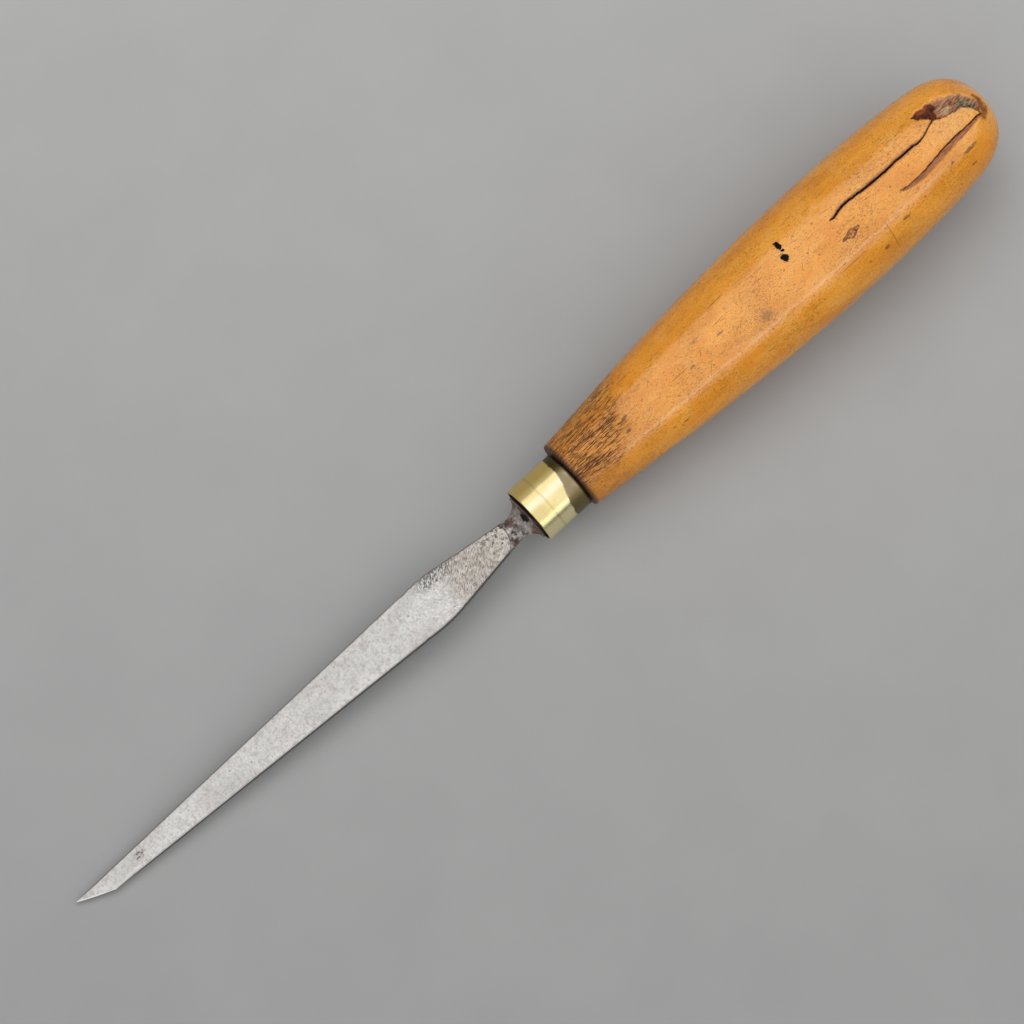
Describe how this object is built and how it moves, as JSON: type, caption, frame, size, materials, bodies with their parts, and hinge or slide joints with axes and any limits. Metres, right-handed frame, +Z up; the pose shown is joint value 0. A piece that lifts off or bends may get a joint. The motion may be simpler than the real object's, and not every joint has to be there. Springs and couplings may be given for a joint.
{
  "type": "flat carving chisel",
  "caption": "Hand carving chisel lying on its side: narrow tapered steel blade with a skew-ground point, brass ferrule and swelling turned boxwood handle.",
  "frame": {"origin": "on the surface that the tool lies on, below the middle of its box", "axes": "+X along the tool's length from the cutting point to the butt, +Z up from the surface, +Y to the point's side of the blade"},
  "size_m": [0.2596, 0.028, 0.0298],
  "materials": {
    "steel": "ground, worn and lightly pitted",
    "brass": "polished, tarnished at the rear",
    "boxwood": "old oil finish, dented and cracked"
  },
  "bodies": {
    "root": {"blade": "steel", "ferrule": "brass", "handle": "boxwood"}
  },
  "joints": []
}
